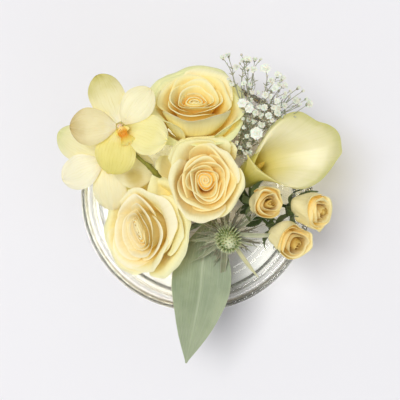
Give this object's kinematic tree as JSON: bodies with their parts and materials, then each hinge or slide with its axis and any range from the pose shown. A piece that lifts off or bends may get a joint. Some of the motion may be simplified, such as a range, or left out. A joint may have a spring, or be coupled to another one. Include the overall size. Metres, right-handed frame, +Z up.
{
  "type": "floral table centerpiece",
  "caption": "Low clear glass bowl of water holding a loose dome of cream roses, spray roses, orchids, calla lily, sea holly, baby's breath and a broad leaf.",
  "frame": {"origin": "centre of the flat foot of the glass bowl, on the table", "axes": "+Z up out of the bowl, +Y towards the back of the table, away from the broad leaf's tip, +X to the right, towards the calla lily"},
  "size_m": [0.2136, 0.2367, 0.1585],
  "materials": {
    "water": "clear still water",
    "clear_glass": "clear, polished, thick-walled glass",
    "floret_white": "small white florets on thin green stems",
    "sea_holly": "grey-green, spiny, matt",
    "calla_spathe": "smooth satin cream-yellow",
    "rose_heart": "velvety apricot-cream petals, deeper in the folds",
    "spike_green": "olive green stem, semi-matt",
    "sepal_green": "matt dark green",
    "spray_petal": "velvety warm cream-yellow",
    "leaf": "grey-green leaf, satin, parallel veins",
    "stem_green": "fresh green stem, semi-matt",
    "orchid_tepal": "waxy pale yellow with fine veins",
    "rose_petal": "velvety pale cream-yellow petal with a faint green outer edge",
    "orchid_lip": "waxy ochre-yellow",
    "spadix": "grainy orange-yellow"
  },
  "bodies": {
    "root": {"water": "water", "glass_bowl": "clear_glass", "babys_breath_2": "floret_white", "babys_breath_1": "floret_white", "babys_breath_3": "floret_white", "sea_holly_bracts": "sea_holly", "calla_spathe": "calla_spathe", "rose_centre_inner_petals": "rose_heart", "rose_back_inner_petals": "rose_heart", "rose_left_inner_petals": "rose_heart", "orchid_spike": "spike_green", "spray_rose_branch": "sepal_green", "rose_back_calyx": "sepal_green", "rose_left_calyx": "sepal_green", "spray_rose_3_calyx": "sepal_green", "rose_centre_calyx": "sepal_green", "spray_rose_2_calyx": "sepal_green", "spray_rose_1_calyx": "sepal_green", "spray_rose_1_petals": "spray_petal", "spray_rose_2_petals": "spray_petal", "spray_rose_3_petals": "spray_petal", "broad_leaf": "leaf", "calla_stem": "stem_green", "orchid_rear_sepal_lower_left": "orchid_tepal", "rose_back_outer_petal_1": "rose_petal", "sea_holly_cone": "sea_holly", "rose_back_stem": "stem_green", "sea_holly_stem": "stem_green", "rose_left_outer_petal_1": "rose_petal", "rose_left_stem": "stem_green", "rose_centre_outer_petal_1": "rose_petal", "rose_centre_stem": "stem_green", "orchid_front_sepal_dorsal": "orchid_tepal", "orchid_front_sepal_lower_right": "orchid_tepal", "orchid_rear_sepal_dorsal": "orchid_tepal", "orchid_front_lip": "orchid_lip", "orchid_rear_lip": "orchid_lip", "rose_back_outer_petal_3": "rose_petal", "rose_back_outer_petal_4": "rose_petal", "rose_centre_outer_petal_3": "rose_petal", "rose_centre_outer_petal_5": "rose_petal", "rose_back_outer_petal_5": "rose_petal", "rose_centre_outer_petal_2": "rose_petal", "rose_centre_outer_petal_4": "rose_petal", "rose_back_outer_petal_2": "rose_petal", "rose_left_outer_petal_2": "rose_petal", "rose_left_outer_petal_3": "rose_petal", "rose_left_outer_petal_4": "rose_petal", "rose_left_outer_petal_5": "rose_petal", "orchid_front_sepal_lower_left": "orchid_tepal", "orchid_rear_sepal_lower_right": "orchid_tepal", "orchid_front_petal_left": "orchid_tepal", "orchid_front_petal_right": "orchid_tepal", "orchid_rear_petal_left": "orchid_tepal", "orchid_rear_petal_right": "orchid_tepal", "broad_leaf_stalk": "stem_green", "orchid_front_column": "orchid_lip", "orchid_rear_column": "orchid_lip", "calla_spadix": "spadix"}
  },
  "joints": []
}
